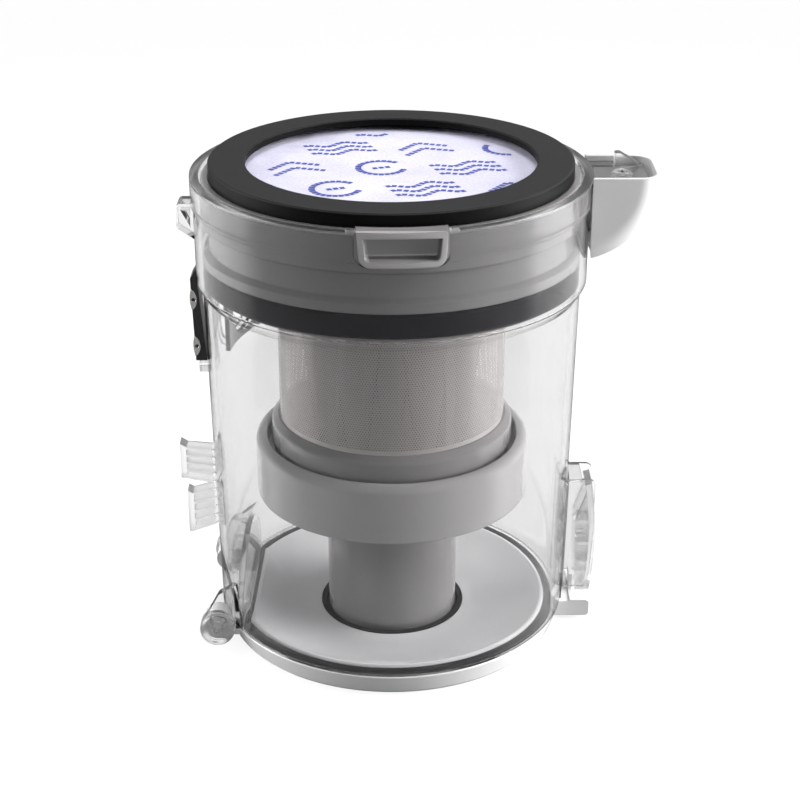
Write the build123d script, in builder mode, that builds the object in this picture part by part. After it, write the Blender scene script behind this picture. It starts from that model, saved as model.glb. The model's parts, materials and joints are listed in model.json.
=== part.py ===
from build123d import *
import os
from math import cos, radians, sin, sqrt

# Clear dust bin of a cordless vacuum cleaner, in millimetres, +Z up.
# The origin is on the cup's axis, on the flat underside of the bottom lid.
# -Y is the front, -X carries the hinge, contacts and clips, +X the latch and the hook.

# Fits and clearances
body_gap = 0.4
seat_gap = 0.3
pin_play = 0.05
glue_gap = 0.05
overlap = 0.2
beyond = 2.0

# Clear cup: tapered wall, stepped out at the shoulder, lip at the top
lid_rim_z = 7.0
cup_wall = 2.0
cup_foot_r = 55.8
cup_flare = 1.9
cup_step = 1.8
cup_shoulder_z = 115.0
cup_shoulder_rise = 3.0
cup_head_tall = 23.5
cup_lip_out = 0.7
cup_lip_tall = 8.8
cup_foot_z = lid_rim_z + body_gap
cup_shoulder_r = cup_foot_r + cup_flare
cup_head_r = cup_shoulder_r + cup_step
cup_head_in = cup_head_r - cup_wall
cup_head_z = cup_shoulder_z + cup_shoulder_rise
cup_lip_r = cup_head_r + cup_lip_out
cup_lip_z = cup_head_z + cup_head_tall
cup_top_z = cup_lip_z + cup_lip_tall

# Hinge bay: flat web inside the wall, arched roof, open below
web_inset = 9.6
bay_arch_r = 30.0
web_x = cup_foot_r - web_inset
bay_roof_z = bay_arch_r + cup_wall

# Bottom lid
lid_draft = 1.9
lid_edge_round = 0.8
lid_rim_break = 0.3
lid_plug_inset = 3.6
lid_plug_up = 1.2
lid_plug_lip = 1.2
lid_plug_break = 0.5
lid_seal_room = 0.7
lid_seal_down = 0.3
lid_seal_round = 0.6
lid_groove_down = 2.2
lid_groove_inset = 0.8
lid_groove_wide = 6.0
lid_floor = 1.6
lid_dish_z = 3.0
lid_dish_flat = 4.0
lid_socket_wide = 2.4
lid_chord_out = 2.8
plug_chord_in = 1.8
lid_rim_r = cup_foot_r - seat_gap
lid_foot_r = lid_rim_r - lid_draft
lid_plug_r = cup_foot_r - cup_wall - lid_plug_inset
lid_plug_z = lid_rim_z + lid_plug_up
lid_groove_z = lid_rim_z - lid_groove_down
lid_chord = web_x + lid_chord_out
plug_chord = web_x - plug_chord_in

# Lid hinge
hinge_pin_r = 1.5
cup_knuckle_r = 5.5
cup_knuckle_in = 24.0
cup_knuckle_wide = 6.0
cup_knuckle_round = 2.2
hinge_pin_cap = 1.6
lid_knuckle_r = 4.5
lid_knuckle_wide = 6.5
ear_thick = 3.0
ear_top_z = 24.0
ear_slope = 4.0
ear_sink = 2.0
hinge_x = -lid_rim_r
hinge_z = lid_rim_z
cup_knuckle_out = cup_knuckle_in + cup_knuckle_wide
lid_knuckle_in = cup_knuckle_in - lid_knuckle_wide

# Latch at the right
latch_pivot_out = 5.2
latch_pivot_up = 21.8
latch_half = 5.0
latch_out = 4.8
latch_skin = 2.0
latch_cheek = 1.6
latch_crown = 4.0
latch_foot_in = 1.0
latch_head_in = 1.6
latch_foot_up = 0.8
latch_tall = 39.3
latch_trunnion_r = 1.5
latch_trunnion_gap = 0.1
latch_cheek_back = 1.5
latch_rib = 1.2
latch_rib_deep = 4.4
latch_rib_out = 1.6
latch_rib_steps = (-12.0, -5.0, 3.0)
latch_ear = 1.2
latch_ear_up = 1.9
latch_ear_root = 1.4
latch_ear_back = 0.6
latch_ear_round = 2.2
latch_pad = 0.4
latch_pad_half = 10.0
latch_pad_up = 0.6
latch_pad_round = 1.5
latch_pivot_x = cup_foot_r + latch_pivot_out
latch_face_x = latch_pivot_x + latch_out
latch_foot_z = cup_foot_z + latch_foot_up
latch_pivot_z = latch_foot_z + latch_pivot_up
latch_top_z = latch_foot_z + latch_tall
latch_ear_top_z = latch_top_z + latch_ear_up
latch_pad_top_z = latch_ear_top_z + latch_pad_up
latch_ear_in = latch_half + body_gap
latch_ear_out = latch_ear_in + latch_ear

# Tongue of the lid under the latch, with its catch
tongue_half = 10.0
tongue_sink = 2.5
tongue_back = 1.3
tongue_low_z = 1.4
tongue_round = 1.2
catch_in = 2.8
catch_thick = 1.2
catch_half = 2.8
catch_tall = 5.9
tongue_root_x = cup_foot_r - tongue_sink
tongue_x = latch_face_x - tongue_back
tongue_top_z = lid_rim_z + body_gap / 4
catch_x = latch_pivot_x - catch_in
catch_top_z = tongue_top_z + catch_tall

# Hook at the upper right
hook_half = 13.0
hook_reach = 19.8
hook_up = 0.7
hook_tall = 26.6
hook_round = 7.0
hook_skin = 1.5
hook_bulge_x = 0.765
hook_bulge_z = 0.40
hook_root = 4.0
bracket_half = 11.0
bracket_down = 3.4
bracket_thick = 2.0
bracket_back = 3.5
bracket_round = 5.0
bracket_rib_y = 7.0
bracket_rib = 1.6
bracket_rib_back = 7.0
bracket_rib_low = 8.0
nose_long = 7.5
nose_back = 1.5
nose_flat = 1.6
nose_wide = 3.4
nose_up = 2.4
nose_down = 1.2
nose_round = 0.6
hook_screw_out = 9.5
hook_screw_long = 9.0
hook_screw_sink = 1.3
hook_cross_long = 3.2
hook_cross_wide = 0.8
hook_cross_deep = 0.9
hook_boss_r = 3.2
hook_boss_tall = 14.1
hook_x = cup_lip_r + hook_reach
hook_top_z = cup_top_z + hook_up
hook_low_z = hook_top_z - hook_tall
bracket_x = hook_x - bracket_back
nose_x = bracket_x - nose_back
bracket_z = hook_top_z - bracket_down
bracket_top_z = bracket_z + bracket_thick
hook_screw_x = cup_head_r + hook_screw_out
hook_sink_z = bracket_top_z - hook_screw_sink
cover_x = cup_lip_r + seat_gap

# Finger notch at the front, turned a little towards +X
notch_turn = 3.2
notch_half = 12.6
notch_down = 9.7
notch_draft = 0.9
notch_round = 3.2
notch_frame = 1.5
notch_proud = 0.8
notch_bar = 1.7
notch_bar_up = 0.4
notch_depth = 3.8
notch_pocket_draft = 0.7
notch_pocket_taper = 14.0
notch_reach = 12.0
notch_ear = 2.4
notch_ear_up = 0.9
notch_ear_tall = 12.0
notch_ear_soft = 0.45
notch_face_r = cup_lip_r + notch_proud
notch_low_z = cup_top_z - notch_down
notch_bar_top_z = cup_top_z + notch_bar_up
notch_bar_low_z = notch_bar_top_z - notch_bar
notch_ear_top_z = cup_top_z + notch_ear_up

# Inlet port at the back left
inlet_y = 20.0
inlet_wide = 24.0
inlet_tall = 24.0
inlet_down = 2.0
inlet_round = 10.0
inlet_rim = 1.8
inlet_rim_out = 1.2
inlet_depth = 40.0
inlet_top_z = cup_shoulder_z - inlet_down
inlet_low_z = inlet_top_z - inlet_tall

# Contact rail and spring contacts at the left
rail_half = 4.0
rail_up = 5.0
rail_tall = 30.2
rail_thick = 3.5
rail_head = 1.9
rail_break = 3.2
contact_down = (10.0, 25.3)
contact_tall = 7.0
contact_out = 0.5
contact_in = 1.7
contact_eye_r = 0.6
contact_proud = 0.25
stop_side = 3.2
stop_down = 2.2
stop_out = 0.6
rail_top_z = cup_shoulder_z + rail_up
rail_low_z = rail_top_z - rail_tall
rail_slant_z = rail_top_z - rail_break
contact_half = rail_half + contact_proud

# Lug and comb clips at the left
lug_half = 4.0
lug_out = 5.1
lug_down = 0.9
lug_tall = 11.1
lug_slope = 3.4
lug_round = 1.4
lug_root = 0.6
lug_wall = 1.2
lug_roof = 2.2
clip_half = 2.6
clip_shelf = 0.9
clip_shelves = 5
clip_spine = 1.9
clip_peak = 1.2
clip_root = 0.6
clip_split_z = 45.5
clip_split = 0.4
upper_clip_reach = 11.9
upper_clip_tall = 12.1
upper_clip_rise_low = 2.2
upper_clip_rise_top = 1.1
lower_clip_reach = 10.2
lower_clip_tall = 13.0
lower_clip_drop_low = 3.5
lower_clip_drop_top = 2.7
lug_x = cup_head_r + lug_out
lug_top_z = cup_lip_z - lug_down
lug_low_z = lug_top_z - lug_tall

# Cyclone collar and its seal
collar_room = 0.5
collar_neck_in = 1.8
collar_band_tall = 2.9
collar_band_rise = 1.2
collar_step = 0.8
collar_up = 2.4
collar_tall = 32.4
collar_waist_up = 20.6
collar_ledge_up = 20.0
collar_foot_in = 2.0
collar_roof = 2.0
collar_wall = 2.4
collar_break = 0.6
seal_deep = 2.8
seal_up = 1.1
seal_tall = 7.6
seal_proud = 0.2
seal_inset = 0.2
seal_break = 0.4
seal_crown = 0.8
guide_inset = 2.7
guide_thick = 1.6
guide_down = 27.4
guide_from = 128.0
guide_to = 176.0
guide_window_in = 3.0
collar_r = cup_head_in - collar_room
collar_neck_r = collar_r - collar_neck_in
collar_low_z = cup_shoulder_z + collar_up
collar_top_z = collar_low_z + collar_tall
collar_waist_z = collar_low_z + collar_waist_up
collar_ledge_z = collar_low_z + collar_ledge_up
collar_foot_r = collar_r - collar_foot_in
collar_well_r = collar_r - collar_wall
collar_throat_r = collar_well_r - collar_wall
seal_groove_r = collar_r - seal_deep
seal_groove_low_z = collar_low_z + seal_up
seal_groove_top_z = seal_groove_low_z + seal_tall
seal_r = collar_r + seal_proud
guide_r = cup_shoulder_r - cup_wall - guide_inset
guide_low_z = collar_low_z - guide_down

# Skirt and dust tube
skirt_room = 12.5
skirt_wall = 2.0
skirt_low_z = 46.5
skirt_tall = 19.0
skirt_mouth_in = 3.8
skirt_web_up = 11.1
skirt_web = 2.4
skirt_round = 2.4
skirt_mouth_round = 0.6
skirt_low_round = 0.9
tube_r = 21.0
tube_wall = 1.6
tube_foot_z = 2.6
tube_play = 1.2
tube_seat_in = 2.0
tube_flare = 1.0
tube_throat = 2.2
tube_throat_down = 2.5
tube_seat = 0.8
skirt_r = cup_foot_r - skirt_room
skirt_top_z = skirt_low_z + skirt_tall
skirt_mouth_r = skirt_r - skirt_mouth_in
skirt_web_z = skirt_low_z + skirt_web_up
skirt_hub_r = tube_r + tube_play
tube_seat_r = skirt_mouth_r - tube_seat_in
lid_socket_r = tube_r + lid_socket_wide
lid_dish_r = lid_socket_r + lid_dish_flat
tube_head_z = skirt_web_z + skirt_web + glue_gap

# Mesh screen and its frame
mesh_sheet = 0.4
frame_base_in = 1.5
frame_base_down = 1.0
frame_base_round = 1.6
frame_base_tall = 7.9
frame_base_lip = 0.6
frame_base_slope = 1.6
frame_step = 2.6
frame_bore_in = 2.0
frame_top_down = 4.4
frame_top_lip = 1.2
frame_flange_out = 8.6
frame_post = 3.0
frame_posts = 6
frame_post_up = 2.0
frame_screw_deep = 3.8
frame_base_r = skirt_mouth_r - frame_base_in
frame_base_z = skirt_top_z - frame_base_down
mesh_r = frame_base_r - frame_step
mesh_low_z = frame_base_z + frame_base_tall
frame_bore_r = mesh_r - frame_bore_in
frame_top_z = collar_low_z - frame_top_down
frame_flange_r = mesh_r + frame_flange_out
collar_bore_r = mesh_r + seal_inset
plate_r = collar_bore_r - seat_gap
seat_z = frame_base_z - glue_gap

# Inner cyclones, six cones round one
cone_count = 6
cone_room = 3.0
cone_gap = 2.2
cone_tip_r = 3.4
cone_tip_up = 2.5
cone_wall = 1.0
cone_inlet_deep = 5.0
cone_inlet_wide = 3.4
cone_inlet_tall = 6.0
cone_inlet_side = 3.0
cone_inlet_in = 1.5
cone_inlet_down = 4.5
pack_plate = 2.0
pack_plate_out = 1.2
pack_boss_tall = 7.0
finder_in = 4.6
finder_wall = 1.0
finder_deep = 13.4
finder_up = 1.5
cone_top_r = (frame_bore_r - cone_room - cone_gap) / 3
cone_pitch_r = 2 * cone_top_r + cone_gap
cone_tip_z = frame_base_z + cone_tip_up
finder_r = cone_top_r - finder_in
finder_low_z = collar_low_z - finder_deep
finder_plate_z = collar_low_z
pack_plate_z = collar_low_z - glue_gap - pack_plate
frame_flange_z = pack_plate_z - glue_gap

# Screws, three of each on a circle
screw_r = 1.4
screw_play = 0.2
screw_head_r = 2.7
screw_head = 1.8
screw_count = 3
screw_start = 30.0
pack_screw_in = 5.4
pack_screw_long = 8.0
collar_screw_out = 5.0
collar_screw_long = 4.0
frame_screw_out = 0.2
frame_screw_long = 10.4
pack_screw_pitch = mesh_r - pack_screw_in
collar_screw_pitch = mesh_r + collar_screw_out
frame_screw_pitch = mesh_r + frame_screw_out

# Filter
filter_up = 4.2
filter_ring_in = 2.36
filter_band = 11.04
filter_lip = 2.2
filter_break = 0.4
filter_edge = 0.5
filter_bed_in = 3.8
filter_sheet_down = 4.4
filter_sheet = 0.4
filter_sleeve_down = 3.0
grid_bar = 1.6
grid_bars = 9
grid_floor = 2.0
grid_sink = 1.0
pleat_pitch = 5.0
pleat_paper = 1.2
pleat_up = 4.0
filter_top_z = collar_top_z + filter_up
filter_ring_r = collar_r - filter_ring_in
filter_hole_r = filter_ring_r - filter_band
filter_core_r = collar_well_r - body_gap
filter_bed_r = filter_core_r - filter_bed_in
filter_sheet_z = filter_top_z - filter_sheet_down
filter_under_z = filter_top_z - filter_lip
sleeve_top_z = collar_top_z - filter_sleeve_down
pleat_low_z = collar_ledge_z + pleat_up
grid_low_z = collar_ledge_z + seat_gap

turn = radians(notch_turn)
notch_plane = Plane(origin=(0, 0, 0), x_dir=(cos(turn), sin(turn), 0), z_dir=(sin(turn), -cos(turn), 0))

hook_screw_axis = Axis((hook_screw_x, 0, 0), (0, 0, 1))

os.makedirs("parts", exist_ok=True)


def section(points):
    """Closed outline in the XZ plane, as (radius, height) points."""
    with BuildSketch(Plane.XZ) as face:
        with BuildLine():
            Polyline(*points, close=True)
        make_face()
    return face.sketch


def cup_outer_r(z):
    """Outer radius of the tapered lower wall at a height."""
    share = (z - cup_foot_z) / (cup_shoulder_z - cup_foot_z)
    return cup_foot_r + share * (cup_shoulder_r - cup_foot_r)


def save(builder, name):
    """Label a finished piece and write it."""
    builder.part.label = name
    export_step(builder.part, f"parts/{name}.step")


# Space inside the wall near the hinge, solid and hollow
with BuildPart() as bay_block:
    revolve(section([
        (0, cup_foot_z),
        (cup_foot_r - cup_wall / 2, cup_foot_z),
        (cup_outer_r(bay_roof_z) - cup_wall / 2, bay_roof_z),
        (0, bay_roof_z),
    ]), axis=Axis.Z)
    with BuildSketch(Plane.YZ.offset(-web_x)):
        Circle(bay_arch_r)
    extrude(amount=-cup_foot_r, mode=Mode.INTERSECT)

with BuildPart() as bay_hollow:
    revolve(section([
        (0, cup_foot_z),
        (cup_foot_r - cup_wall, cup_foot_z),
        (cup_outer_r(bay_roof_z) - cup_wall, bay_roof_z),
        (0, bay_roof_z),
    ]), axis=Axis.Z)
    with BuildSketch(Plane.YZ.offset(-web_x - cup_wall)):
        Circle(bay_arch_r - cup_wall)
    extrude(amount=-cup_foot_r, mode=Mode.INTERSECT)

# Raised pad on the wall behind the latch
with BuildPart() as latch_bed:
    revolve(section([
        (cup_foot_r - cup_wall / 2, cup_foot_z + body_gap),
        (cup_outer_r(cup_foot_z) + latch_pad, cup_foot_z + body_gap),
        (cup_outer_r(latch_pad_top_z) + latch_pad, latch_pad_top_z),
        (cup_outer_r(latch_pad_top_z) - cup_wall / 2, latch_pad_top_z),
    ]), axis=Axis.Z)
    with BuildSketch(Plane.YZ):
        with Locations((0, latch_pad_top_z / 2)):
            RectangleRounded(2 * latch_pad_half, latch_pad_top_z, latch_pad_round)
    extrude(amount=cup_lip_r, mode=Mode.INTERSECT)

# Raised rim round the inlet port
with BuildPart() as inlet_frame:
    revolve(section([
        (cup_outer_r(inlet_low_z) - cup_wall / 2, inlet_low_z - inlet_rim),
        (cup_outer_r(inlet_low_z) + inlet_rim_out, inlet_low_z - inlet_rim),
        (cup_outer_r(inlet_top_z) + inlet_rim_out, inlet_top_z + inlet_rim),
        (cup_outer_r(inlet_top_z) - cup_wall / 2, inlet_top_z + inlet_rim),
    ]), axis=Axis.Z)
    with BuildSketch(Plane.YZ):
        with Locations((inlet_y, (inlet_low_z + inlet_top_z) / 2)):
            RectangleRounded(inlet_wide + 2 * inlet_rim, inlet_tall + 2 * inlet_rim, inlet_round + inlet_rim)
    extrude(amount=-cup_lip_r, mode=Mode.INTERSECT)

# Two small ears of the rim beside the finger notch
with BuildPart() as notch_ears:
    revolve(section([
        (cup_head_in, cup_lip_z),
        (cup_lip_r, cup_lip_z),
        (cup_lip_r, notch_ear_top_z),
        (cup_lip_r - cup_wall / 2, notch_ear_top_z),
        (cup_head_in, cup_top_z),
    ]), axis=Axis.Z)
    with BuildSketch(notch_plane):
        ear_out = notch_half + body_gap + notch_ear / 2
        for side in (-1, 1):
            with Locations((side * ear_out, notch_ear_top_z - notch_ear_tall / 2)):
                RectangleRounded(notch_ear, notch_ear_tall, notch_ear * notch_ear_soft)
    extrude(amount=cup_lip_r + beyond, mode=Mode.INTERSECT)

# Clear cup, one moulding
with BuildPart() as dust_cup:
    revolve(section([
        (cup_foot_r - cup_wall, cup_foot_z),
        (cup_foot_r, cup_foot_z),
        (cup_shoulder_r, cup_shoulder_z),
        (cup_head_r, cup_head_z),
        (cup_head_r, cup_lip_z),
        (cup_lip_r, cup_lip_z + cup_lip_out),
        (cup_lip_r, cup_top_z),
        (cup_head_in, cup_top_z),
        (cup_head_in, cup_head_z),
        (cup_shoulder_r - cup_wall, cup_shoulder_z),
    ]), axis=Axis.Z)
    add(bay_block.part)
    add(bay_hollow.part, mode=Mode.SUBTRACT)
    add(latch_bed.part)
    add(inlet_frame.part)
    # Finger notch in the rim, then its ears
    notch_cut_tall = 4 * notch_down
    with BuildSketch(notch_plane.offset(cup_head_in - beyond)):
        with Locations((0, notch_low_z - body_gap + notch_cut_tall / 2)):
            RectangleRounded(2 * (notch_half + body_gap), notch_cut_tall, notch_round)
    extrude(amount=notch_reach, mode=Mode.SUBTRACT)
    add(notch_ears.part)
    # Inlet port
    with BuildSketch(Plane.YZ.offset(-inlet_depth)):
        with Locations((inlet_y, (inlet_low_z + inlet_top_z) / 2)):
            RectangleRounded(inlet_wide, inlet_top_z - inlet_low_z, inlet_round)
    extrude(amount=-cup_lip_r, mode=Mode.SUBTRACT)
    # Hinge ears and knuckles
    for side in (-1, 1):
        middle = side * (cup_knuckle_in + cup_knuckle_out) / 2
        with BuildPart(mode=Mode.PRIVATE) as knuckle:
            with BuildSketch(Plane.XZ.offset(-middle)):
                with Locations((hinge_x, hinge_z)):
                    Circle(cup_knuckle_r)
            extrude(amount=cup_knuckle_wide / 2, both=True)
            outer_end = knuckle.faces().sort_by(Axis.Y)[0 if side < 0 else -1]
            fillet(outer_end.edges(), cup_knuckle_round)
        add(knuckle.part)
        with BuildSketch(Plane.XZ.offset(-middle)):
            with BuildLine():
                Polyline(
                    (hinge_x - cup_knuckle_r + ear_sink / 4, hinge_z + ear_sink),
                    (hinge_x + ear_sink / 2, ear_top_z - ear_slope),
                    (-web_x - ear_sink, ear_top_z),
                    (-web_x - ear_sink, cup_foot_z + overlap),
                    (hinge_x + cup_knuckle_r - ear_sink / 2, cup_foot_z + overlap),
                    (hinge_x, hinge_z - ear_thick),
                    close=True,
                )
            make_face()
        extrude(amount=ear_thick / 2, both=True)
        # Room for the lid's knuckle and the bore for its pin
        gap_middle = side * (lid_knuckle_in + cup_knuckle_in) / 2
        with BuildSketch(Plane.XZ.offset(-gap_middle)):
            with Locations((hinge_x, hinge_z)):
                Circle(lid_knuckle_r + body_gap)
        extrude(amount=(cup_knuckle_in - lid_knuckle_in) / 2 + seat_gap / 2, both=True, mode=Mode.SUBTRACT)
        with BuildSketch(Plane.XZ.offset(-(middle - side * hinge_pin_cap))):
            with Locations((hinge_x, hinge_z)):
                Circle(hinge_pin_r + pin_play)
        extrude(amount=cup_knuckle_wide / 2, both=True, mode=Mode.SUBTRACT)
    # Latch ears with a bridge across their top
    for side in (-1, 1):
        with BuildSketch(Plane.XZ.offset(-side * (latch_ear_in + latch_ear / 2))) as ear:
            with BuildLine():
                Polyline(
                    (cup_foot_r - latch_ear_root, latch_foot_z + latch_skin),
                    (latch_face_x - latch_ear_back - latch_ear, latch_foot_z + latch_skin),
                    (latch_face_x - latch_ear_back, latch_pivot_z),
                    (latch_face_x - latch_ear_back, latch_ear_top_z),
                    (cup_foot_r - latch_ear_root, latch_ear_top_z),
                    close=True,
                )
            make_face()
            fillet(ear.vertices().group_by(Axis.Y)[-1].sort_by(Axis.X)[-1], latch_ear_round)
            with Locations((latch_pivot_x, latch_pivot_z)):
                Circle(latch_trunnion_r + pin_play, mode=Mode.SUBTRACT)
        extrude(amount=latch_ear / 2, both=True)
    with BuildSketch(Plane.XZ):
        with Locations(((cup_foot_r - latch_ear_root + latch_pivot_x) / 2, latch_ear_top_z - latch_ear / 2)):
            Rectangle(latch_pivot_x - cup_foot_r + latch_ear_root, latch_ear)
    extrude(amount=latch_ear_out, both=True)
    # Hook bracket: shelf, ribs, screw hole and a raised nose at the back
    with BuildSketch(Plane.XY.offset(bracket_z)) as shelf:
        with Locations(((cup_head_in + bracket_x) / 2, 0)):
            Rectangle(bracket_x - cup_head_in, 2 * bracket_half)
        fillet(shelf.vertices().sort_by(Axis.X)[-2:], bracket_round)
        with Locations((hook_screw_x, 0)):
            Circle(screw_r + screw_play, mode=Mode.SUBTRACT)
    extrude(amount=bracket_thick)
    revolve(section([
        (hook_screw_x, bracket_top_z),
        (hook_screw_x + screw_head_r + glue_gap, bracket_top_z),
        (hook_screw_x + screw_r + glue_gap, hook_sink_z),
        (hook_screw_x, hook_sink_z),
    ]), axis=hook_screw_axis, mode=Mode.SUBTRACT)
    for rib_y in (-bracket_rib_y, bracket_rib_y):
        with BuildSketch(Plane.XZ.offset(-rib_y)):
            with BuildLine():
                Polyline(
                    (cup_head_r - cup_wall / 2, bracket_z + overlap),
                    (bracket_x - bracket_rib_back, bracket_z + overlap),
                    (cup_head_r - cup_wall / 2, hook_low_z + bracket_rib_low),
                    close=True,
                )
            make_face()
        extrude(amount=bracket_rib / 2, both=True)
    with BuildSketch(Plane.XZ.offset(-bracket_half + nose_wide)) as nose:
        with BuildLine():
            Polyline(
                (nose_x - nose_long, bracket_top_z - overlap),
                (nose_x - nose_long, hook_top_z + nose_up),
                (nose_x - nose_long + nose_flat, hook_top_z + nose_up),
                (nose_x, hook_top_z - nose_down),
                (nose_x, bracket_top_z - overlap),
                close=True,
            )
        make_face()
        fillet(nose.vertices().sort_by(Axis.Y)[-2:], nose_round)
    extrude(amount=nose_wide / 2, both=True)
    # Upper left lug with a slanted underside
    with BuildSketch(Plane.XZ) as lug:
        with BuildLine():
            Polyline(
                (-cup_head_in - lug_root, lug_top_z),
                (-lug_x, lug_top_z),
                (-lug_x, lug_low_z + lug_slope),
                (-cup_head_r, lug_low_z),
                (-cup_head_in - lug_root, lug_low_z),
                close=True,
            )
        make_face()
        fillet(lug.vertices().sort_by(Axis.X)[:2], lug_round)
    extrude(amount=lug_half, both=True)
    with BuildSketch(Plane.XZ):
        with BuildLine():
            Polyline(
                (-cover_x, lug_top_z - lug_roof),
                (-lug_x + lug_wall, lug_top_z - lug_roof),
                (-cover_x, lug_low_z + lug_slope),
                close=True,
            )
        make_face()
    extrude(amount=lug_half - lug_wall, both=True, mode=Mode.SUBTRACT)
    # Comb clips: shelves with a spine at their outer end, the upper ones rising, the lower ones falling
    upper_low = clip_split_z + clip_split
    upper_top = upper_low + upper_clip_tall
    lower_top = clip_split_z - clip_split
    lower_low = lower_top - lower_clip_tall
    upper_clip = (
        upper_low,
        upper_top,
        upper_low + upper_clip_rise_low,
        upper_top + upper_clip_rise_top,
        -cup_foot_r - upper_clip_reach,
    )
    lower_clip = (
        lower_low,
        lower_top,
        lower_low - lower_clip_drop_low,
        lower_top - lower_clip_drop_top,
        -cup_foot_r - lower_clip_reach,
    )
    for root_low, root_top, end_low, end_top, end_x in (upper_clip, lower_clip):
        with BuildSketch(Plane.XZ):
            for step in range(clip_shelves):
                share = step / (clip_shelves - 1)
                root_z = root_low + share * (root_top - root_low - clip_shelf)
                end_z = end_low + share * (end_top - end_low - clip_shelf)
                with BuildLine():
                    Polyline(
                        (-cup_foot_r + clip_root, root_z),
                        (end_x + clip_spine / 2, end_z),
                        (end_x + clip_spine / 2, end_z + clip_shelf),
                        (-cup_foot_r + clip_root, root_z + clip_shelf),
                        close=True,
                    )
                make_face()
            with BuildLine():
                Polyline(
                    (end_x, end_low),
                    (end_x + clip_spine, end_low),
                    (end_x + clip_spine, end_top),
                    (end_x, end_top + clip_peak),
                    close=True,
                )
            make_face()
        extrude(amount=clip_half, both=True)
    # Clear stop block under the contact rail
    with BuildSketch(Plane.XZ):
        with Locations((-cup_shoulder_r - stop_out, rail_low_z - stop_down)):
            Rectangle(stop_side, stop_side)
    extrude(amount=rail_half, both=True)
save(dust_cup, "dust_cup")


def hook_shape(half, out_x, top_z, low_x, low_z, edge_round):
    """Quarter round body under the hook's top edge, with rounded sides."""
    with BuildPart() as body:
        with BuildSketch(Plane.XZ):
            with BuildLine():
                arc = ThreePointArc(
                    (out_x, top_z),
                    (low_x + hook_bulge_x * (out_x - low_x), low_z + hook_bulge_z * (top_z - low_z)),
                    (low_x, low_z),
                )
                Line(arc @ 1, (low_x - hook_root, low_z))
                Line((low_x - hook_root, low_z), (low_x - hook_root, top_z))
                Line((low_x - hook_root, top_z), (out_x, top_z))
            make_face()
        extrude(amount=half, both=True)
        sides = body.edges().filter_by(GeomType.CIRCLE).sort_by(Axis.Y)
        fillet([sides[0], sides[-1]], edge_round)
    return body.part


# Opaque hook cover, a thin quarter round shell, open on top
with BuildPart() as hook_cover:
    add(hook_shape(hook_half, hook_x, hook_top_z, cup_head_r, hook_low_z, hook_round))
    add(hook_shape(
        hook_half - hook_skin,
        hook_x - hook_skin,
        hook_top_z + glue_gap,
        cup_head_r,
        hook_low_z + hook_skin,
        hook_round - hook_skin,
    ), mode=Mode.SUBTRACT)
    # Post for the screw
    with BuildSketch(Plane.XY.offset(bracket_z - glue_gap)):
        with Locations((hook_screw_x, 0)):
            Circle(hook_boss_r)
    extrude(amount=-hook_boss_tall)
    with BuildSketch(Plane.XY.offset(bracket_z)):
        with Locations((hook_screw_x, 0)):
            Circle(screw_r + pin_play)
    extrude(amount=-hook_screw_long, mode=Mode.SUBTRACT)
    # Edge that follows the cup's lip
    with BuildSketch(Plane.XY.offset(hook_low_z - beyond)):
        Circle(cover_x)
    extrude(amount=hook_tall + 2 * beyond, mode=Mode.SUBTRACT)
save(hook_cover, "hook_cover")

# Countersunk screw with a cross recess
with BuildPart() as hook_screw:
    revolve(section([
        (hook_screw_x, bracket_top_z),
        (hook_screw_x + screw_head_r, bracket_top_z),
        (hook_screw_x + screw_r, hook_sink_z),
        (hook_screw_x + screw_r, bracket_top_z - hook_screw_long),
        (hook_screw_x, bracket_top_z - hook_screw_long),
    ]), axis=hook_screw_axis)
    with BuildSketch(Plane.XY.offset(bracket_top_z)):
        with Locations((hook_screw_x, 0)):
            Rectangle(hook_cross_long, hook_cross_wide)
            Rectangle(hook_cross_wide, hook_cross_long)
    extrude(amount=-hook_cross_deep, mode=Mode.SUBTRACT)
save(hook_screw, "hook_screw")

# Black contact rail on the wall, slanted at the top
rail_top_x = -cup_head_r - glue_gap
rail_low_x = -cup_outer_r(rail_low_z) - glue_gap


def rail_face_x(z):
    """Outer face of the rail at a height."""
    share = (z - rail_low_z) / (rail_slant_z - rail_low_z)
    return rail_low_x - rail_thick + share * (rail_top_x - rail_head - rail_low_x + rail_thick)


def contact_eye(down):
    """Outline of one looped contact, pointed at both ends."""
    middle = rail_top_z - down
    low = (rail_face_x(middle - contact_tall / 2), middle - contact_tall / 2)
    high = (rail_face_x(middle + contact_tall / 2), middle + contact_tall / 2)
    with BuildSketch(Plane.XZ) as eye:
        with BuildLine():
            ThreePointArc(low, (rail_face_x(middle) - contact_out, middle), high)
            ThreePointArc(high, (rail_face_x(middle) + contact_in, middle), low)
        make_face()
    return eye.sketch


with BuildPart() as contact_rail:
    with BuildSketch(Plane.XZ):
        with BuildLine():
            Polyline(
                (rail_top_x, rail_top_z),
                (rail_top_x, cup_head_z),
                (rail_low_x, rail_low_z),
                (rail_low_x - rail_thick, rail_low_z),
                (rail_top_x - rail_head, rail_slant_z),
                close=True,
            )
        make_face()
    extrude(amount=rail_half, both=True)
    for down in contact_down:
        room = offset(contact_eye(down), amount=glue_gap)
        extrude(room, amount=contact_half, both=True, mode=Mode.SUBTRACT)
save(contact_rail, "contact_rail")

# Two looped spring contacts in the rail
with BuildPart() as contact_springs:
    for down in contact_down:
        extrude(contact_eye(down), amount=contact_half, both=True)
        eye_z = rail_top_z - down
        with BuildSketch(Plane.XZ):
            with Locations((rail_face_x(eye_z) + (contact_in - contact_out) / 2, eye_z)):
                Circle(contact_eye_r)
        extrude(amount=contact_half, both=True, mode=Mode.SUBTRACT)
save(contact_springs, "contact_springs")

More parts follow.
